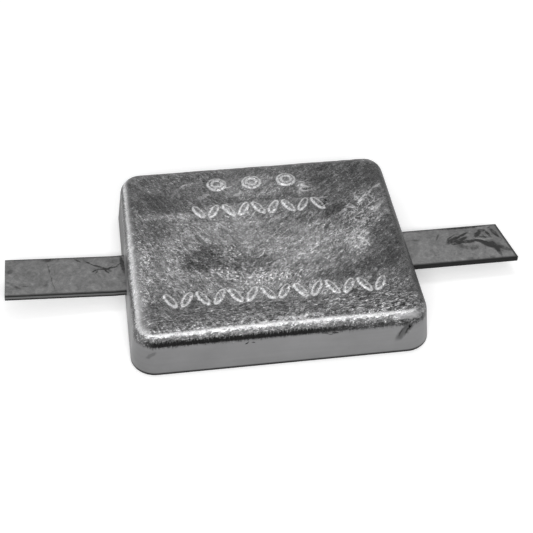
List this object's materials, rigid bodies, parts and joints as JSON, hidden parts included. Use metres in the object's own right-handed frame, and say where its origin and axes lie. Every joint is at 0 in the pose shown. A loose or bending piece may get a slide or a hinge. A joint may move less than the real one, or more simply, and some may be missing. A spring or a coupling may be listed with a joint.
{
  "type": "sacrificial anode",
  "caption": "Weld-on hull anode: a drafted zinc block with a rolled outer edge, cast round a flat steel bar whose arms stick out of both ends.",
  "frame": {"origin": "centre of the block's flat back face, which goes against the hull", "axes": "+X along the steel bar towards its straight arm, +Z away from the hull, out of the rolled-edge face"},
  "size_m": [0.2502, 0.1198, 0.025],
  "materials": {
    "cast_zinc": "rough as-cast zinc, frosty and mottled",
    "bar_steel": "dull hot-rolled flat bar with stains and scratches"
  },
  "bodies": {
    "root": {"anode_block": "cast_zinc", "steel_strap": "bar_steel"}
  },
  "joints": []
}
